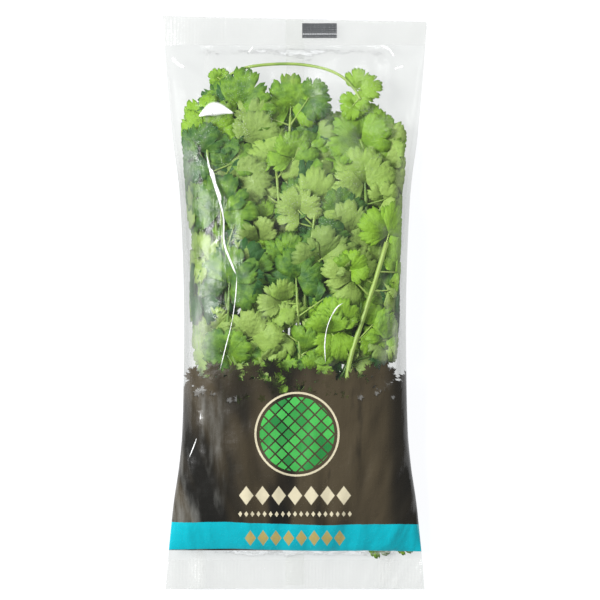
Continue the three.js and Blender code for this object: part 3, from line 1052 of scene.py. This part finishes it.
def creaseAt(x, y, front):
    height = 0
    mark = 0
    for cx, cy, turn, reach, wide, high, inFront in creases:
        if inFront != front:
            continue
        dx, dy = x - cx, y - cy
        lengthwise = dx * math.sin(turn) + dy * math.cos(turn)
        if abs(lengthwise) > reach:
            continue
        aside = dx * math.cos(turn) - dy * math.sin(turn)
        aside += 1.6 * math.sin(lengthwise / 7 + cx)
        if abs(aside) > 6 * wide:
            continue
        fade = (1 - (lengthwise / reach) ** 2) ** 1.5
        ridge = math.exp(-abs(aside) / wide) * fade
        height += high * ridge
        mark = max(mark, high * ridge)
    return height, mark


def reliefAt(x, y, front):
    # how far folds and crinkles stand out of the film, most of all near the seals and in the print
    height, mark = creaseAt(x, y, front)
    near = smoothStep(70, 140, abs(y)) * (1 - smoothStep(144, 166, abs(y)))
    low = smoothStep(50, 90, -y)
    ripple = noise.noise(Vector((x / 7, y / 55, 3 if front else 9)))
    crumple = noise.noise(Vector((x / 13, y / 19, 5 if front else 1)))
    buckle = noise.noise(Vector((x / (y + 300) * 20, y / 60, 4 if front else 8)))
    height += near * skin["ripple"] * ripple
    height += (skin["crumple"] + low) * crumple
    height += low * skin["buckle"] * buckle
    return height, mark


def openVents(bm):
    # the round air holes in the back: faces inside go, and the corners round about move to the circle
    for x, y in bag["vents"]:
        centre = Vector((x, y)) * mm
        limit = section(y)["side"] * mm
        radius = bag["ventRadius"] * mm
        inside = []
        for face in bm.faces:
            middle = face.calc_center_median()
            if middle.z < limit and (middle.xy - centre).length < radius:
                inside.append(face)
        bmesh.ops.delete(bm, geom=inside, context="FACES")
        for vert in bm.verts:
            away = vert.co.xy - centre
            if vert.is_boundary and vert.co.z < limit and away.length < 2 * radius:
                vert.co.xy = centre + away.normalized() * radius


def makeFilm():
    bm = bmesh.new()
    rings = 2 * skin["sealRings"] + skin["bodyRings"]
    around = skin["around"]
    crease = bm.verts.layers.float.new("crease")
    grid = bmesh.ops.create_grid(bm, x_segments=around, y_segments=rings, size=1)["verts"]
    start = bag["length"] / 2 - bag["sealDepth"]
    end = bag["length"] / 2
    for vert in grid:
        across, lengthwise = gridShare(vert)
        i = round(lengthwise * rings)
        k = round(across * around) % around
        fromEnd = min(i, rings - i)
        if fromEnd < skin["sealRings"]:
            y = end - bag["sealDepth"] * fromEnd / skin["sealRings"]
            y = -y if i < rings / 2 else y
        else:
            y = -start + 2 * start * (i - skin["sealRings"]) / skin["bodyRings"]
        s = section(y)
        turn = -2 * math.pi * k / around
        c = math.cos(turn)
        front = k > around / 2 or k == 0
        flat = smoothStep(140, start, abs(y))
        power = (bag["crownPower"] if front else bag["bellyPower"]) * (1 - flat) + 2 * flat
        x = s["half"] * math.copysign(abs(c) ** (2 / power), c)
        z = crownHeight(x, y, 0) if front else bellyHeight(x, y, 0)
        rise, mark = reliefAt(x, y, front)
        inSeal = smoothStep(150, 170, abs(y))
        fromSide = min(1, abs(math.sin(turn)) * 1.6)
        way = 1 if front else -1
        z += way * max(rise * (1 - inSeal) * fromSide, skin["deepest"])
        # the seals sway as one sheet and are crimped in fine rows
        sway = 1.3 * noise.noise(Vector((x / 24, y / 60, 7))) + 0.4 * noise.noise(Vector((x / 8, y / 30, 2)))
        z += inSeal * (sway + way * skin["sealRidge"] * math.sin(2 * math.pi * y / skin["sealPitch"]))
        if not front:
            z = max(z, s["belly"])
        if i in (0, rings):
            z = s["side"] + sway
            if y > 0:
                y -= bag["topSkew"] * (x + s["half"])
        elif y > start:
            y -= bag["topSkew"] * (x + s["half"]) * smoothStep(start, end, y)
        vert[crease] = min(1, mark * 1.6)
        vert.co = Vector((x, y, max(z, skin["lowest"]))) * mm
    bmesh.ops.remove_doubles(bm, verts=grid, dist=skin["mergeWithin"])
    openVents(bm)
    bmesh.ops.recalc_face_normals(bm, faces=bm.faces[:])
    for face in bm.faces:
        face.smooth = True
    addPiece("film_bag", bm, [film], "bag_film")


makeFilm()

seam = {"halfWidth": 6, "endGap": 2.5, "lift": 0.1, "thickness": 0.3}


def makeSeam():
    # the flat fin down the bag's back
    bm = bmesh.new()
    grid = bmesh.ops.create_grid(bm, x_segments=6, y_segments=150, size=1)["verts"]
    for vert in grid:
        y = vert.co.y * (bag["length"] / 2 - seam["endGap"])
        low = section(y)["belly"] - bag["seam"]
        vert.co = Vector((vert.co.x * seam["halfWidth"], y, low + seam["lift"])) * mm
    bmesh.ops.solidify(bm, geom=bm.faces[:], thickness=-seam["thickness"] * mm)
    bmesh.ops.recalc_face_normals(bm, faces=bm.faces[:])
    addPiece("film_seam", bm, [thinFilm])


ribbon = {"across": 4, "steps": 6, "taper": 0.7, "wobble": 0.3, "stand": 0.5, "thickness": 0.08}

# sharp folds, raised on the crown, whose white is a painted highlight: their course on the crown and half
# width, and how their width varies
folds = [
    {"course": [(-57, 97), (-54, 84), (-49, 68), (-45.5, 54), (-45, 38), (-40, 24), (-37, 17)], "half": 1.0},
    {"course": [(-54, 86), (-51, 76), (-47, 64)], "half": 1.9},
    {"course": [(-37, 18), (-37.5, 6), (-40, -12), (-44, -28), (-48, -44)], "half": 0.45},
    {"course": [(-62, 119), (-52, 124), (-39, 121)], "half": 5.4, "taper": 1.4, "wobble": -0.1},
    {"course": [(31, 0), (26, -4), (21, -14), (19, -26), (19.5, -39)], "half": 0.6},
    {"course": [(-79, 158), (-76, 154), (-71, 151)], "half": 1.6},
    {"course": [(55, 166), (61, 163), (64, 158)], "half": 1.0},
    {"course": [(-30, 161), (-27, 165)], "half": 0.7},
    {"course": [(64, 150), (70, 152)], "half": 1.1},
    {"course": [(-68, -100), (-62, -84), (-60, -70)], "half": 0.5},
]


def makeFolds():
    bm = bmesh.new()
    uv = bm.loops.layers.uv.new("ribbon")
    for fold in folds:
        course = smoothRoute(fold["course"], ribbon["steps"])
        last = len(course) - 1
        grid = bmesh.ops.create_grid(bm, x_segments=ribbon["across"], y_segments=last, size=1)["verts"]
        for face in {face for vert in grid for face in vert.link_faces}:
            face.smooth = True
            for loop in face.loops:
                loop[uv].uv = gridShare(loop.vert)
        for vert in grid:
            i = round(gridShare(vert)[1] * last)
            t = i / last
            (ax, ay), (bx, by) = course[max(i - 1, 0)], course[min(i + 1, last)]
            ahead = math.atan2(bx - ax, by - ay)
            half = fold["half"] * (0.1 + math.sin(math.pi * t) ** fold.get("taper", ribbon["taper"]))
            half *= 0.8 + fold.get("wobble", ribbon["wobble"]) * math.sin(9 * t)
            x = course[i][0] + vert.co.x * half * math.cos(ahead)
            y = course[i][1] - vert.co.x * half * math.sin(ahead)
            rise = ribbon["stand"] + 0.5 * half * (1 - abs(vert.co.x))
            vert.co = Vector((x, y, crownHeight(x, y, 0) + rise)) * mm
    bmesh.ops.solidify(bm, geom=bm.faces[:], thickness=ribbon["thickness"] * mm)
    bmesh.ops.recalc_face_normals(bm, faces=bm.faces[:])
    addPiece("film_fold_highlights", bm, [foldHighlight])


makeFolds()
makeSeam()
print("film made")

studio = {
    "floorSize": 6,
    "worldStrength": 0.2,
    "key": {"place": (-1.5, 0.4, 1.7), "size": 0.9, "power": 70},
    "fill": {"place": (0.8, 1.9, 1.6), "size": 1.4, "power": 34},
}
bpy.ops.mesh.primitive_plane_add(size=studio["floorSize"])
floor = bpy.context.object
floor.name = "table"
floor.data.materials.append(floorMaterial())

world = bpy.data.worlds.new("studio")
scene.world = world
world.use_nodes = True
background = world.node_tree.nodes["Background"]
background.inputs["Color"].default_value = (1, 1, 1, 1)
background.inputs["Strength"].default_value = studio["worldStrength"]


def softLight(name):
    # a square light that faces the bag
    light = bpy.data.lights.new(name, "AREA")
    light.size = studio[name]["size"]
    light.energy = studio[name]["power"]
    lamp = bpy.data.objects.new(name, light)
    lamp.location = studio[name]["place"]
    lamp.rotation_euler = (-lamp.location).to_track_quat("-Z", "Y").to_euler()
    scene.collection.objects.link(lamp)


softLight("key")
softLight("fill")

# straight down; the photo's scale holds at scaleHeight above the table
photo = {"pixels": 600, "mmPerPixel": 0.6435, "middle": (3.2, 1.6), "scaleHeight": 12, "distance": 2400}
camera = bpy.data.cameras.new("camera")
camera.sensor_width = 36
across = photo["pixels"] * photo["mmPerPixel"]
camera.lens = camera.sensor_width * (photo["distance"] - photo["scaleHeight"]) / across
camera.clip_end = 20
eye = bpy.data.objects.new("camera", camera)
eye.location = Vector((*photo["middle"], photo["distance"])) * mm
scene.collection.objects.link(eye)
scene.camera = eye
